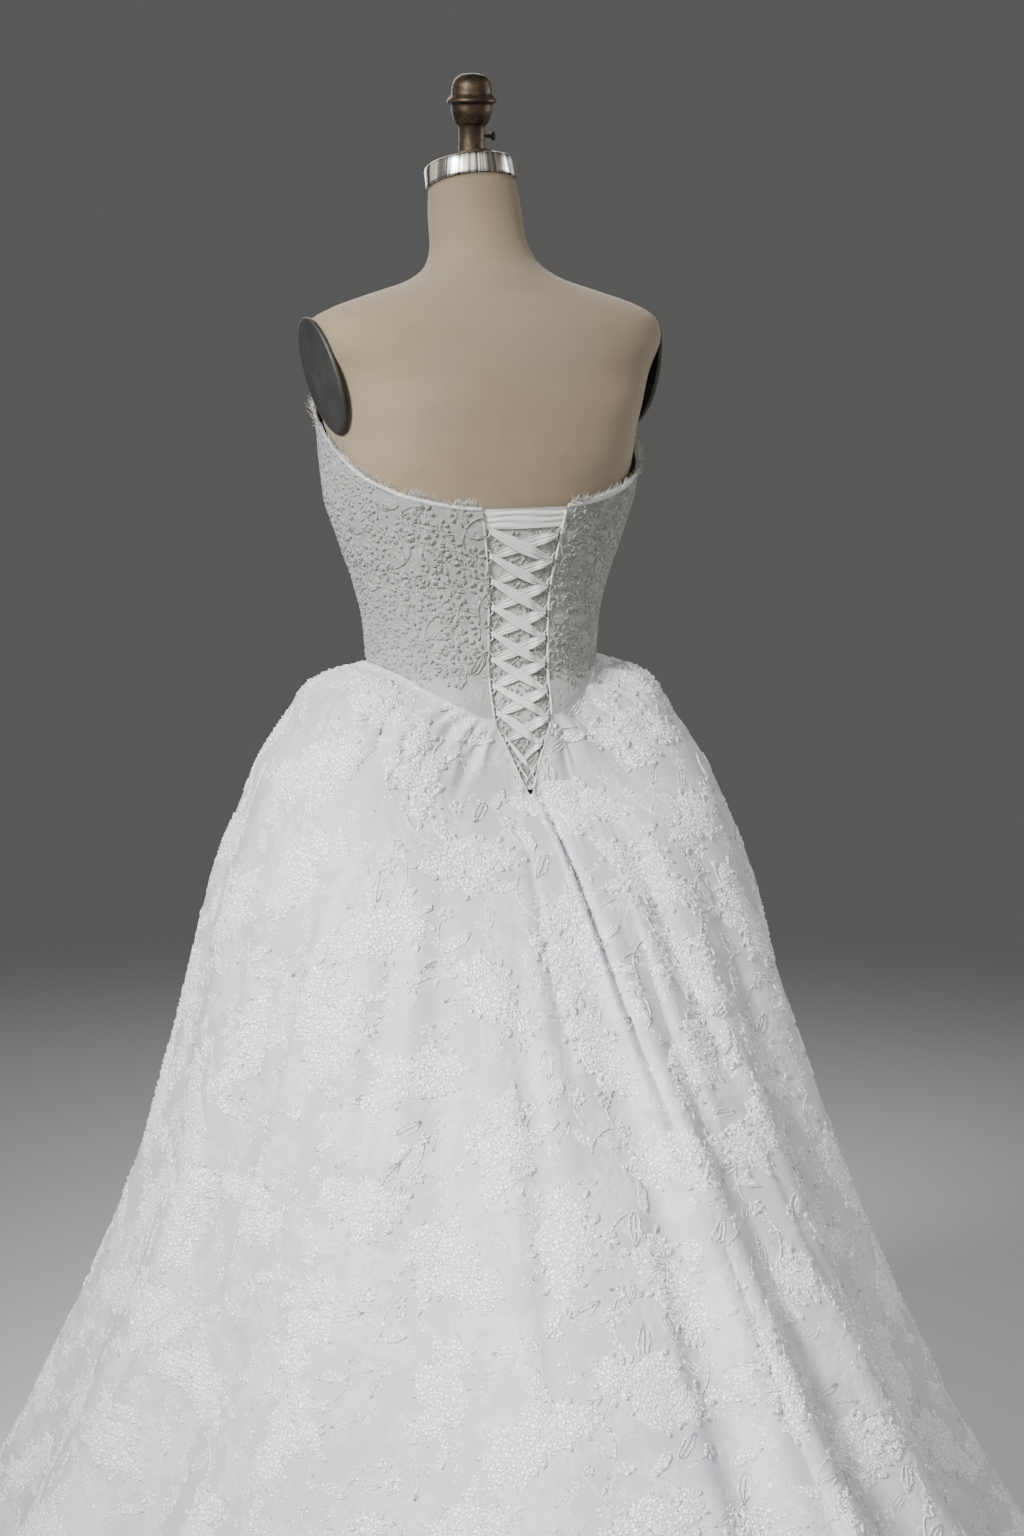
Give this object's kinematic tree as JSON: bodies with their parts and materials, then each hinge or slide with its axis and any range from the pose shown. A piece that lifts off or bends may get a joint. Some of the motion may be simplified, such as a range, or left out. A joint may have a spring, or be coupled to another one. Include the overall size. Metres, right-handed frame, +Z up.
{
  "type": "wedding dress on dress form",
  "caption": "Strapless lace ball gown with corset lacing down the back, a full gored skirt and a sweep train, worn by a limbless dress form on a pole stand.",
  "frame": {"origin": "centre of the stand base's underside, on the axis of the pole", "axes": "+Z up along the pole; the wearer faces -Y, so the laced back and the train are at +Y; +X is the wearer's left"},
  "size_m": [1.371, 1.7269, 1.688],
  "materials": {
    "form_linen": "natural linen stretched over a hard form",
    "bright_metal": "brushed bright band",
    "dark_bronze": "dark antique bronze",
    "dark_plate": "dark satin metal",
    "iron": "dark painted iron",
    "bodice_lace": "white corded lace over satin",
    "skirt_lace": "white floral lace on net over satin",
    "trim": "white cord and eyelash edging",
    "satin": "white satin ribbon"
  },
  "bodies": {
    "dress_and_form": {"form_torso": "form_linen", "neck_cap": "bright_metal", "finial": "dark_bronze", "arm_plate_left": "dark_plate", "arm_plate_right": "dark_plate", "pole": "dark_plate", "stand_base": "iron", "bodice_centre_front": "bodice_lace", "bodice_side_front_left": "bodice_lace", "bodice_side_front_right": "bodice_lace", "bodice_side_back_left": "bodice_lace", "bodice_side_back_right": "bodice_lace", "bodice_centre_back_left": "bodice_lace", "bodice_centre_back_right": "bodice_lace", "top_edge_left": "trim", "top_edge_right": "trim", "modesty_panel": "bodice_lace", "modesty_top_band": "satin", "loops_left": "trim", "loops_right": "trim", "ribbon_a": "satin", "ribbon_b": "satin", "skirt_front": "skirt_lace", "skirt_side_front_left": "skirt_lace", "skirt_side_front_right": "skirt_lace", "skirt_side_back_left": "skirt_lace", "skirt_side_back_right": "skirt_lace", "skirt_back_left": "skirt_lace", "skirt_back_right": "skirt_lace"},
    "thumb_screw": {"thumb_screw": "dark_bronze"}
  },
  "joints": [
    {"name": "thumb_screw_turn", "type": "hinge", "parent": "dress_and_form", "child": "thumb_screw", "pos_m": [-0.02, 0, 1.625], "axis": [-1, 0, 0], "continuous": true}
  ]
}
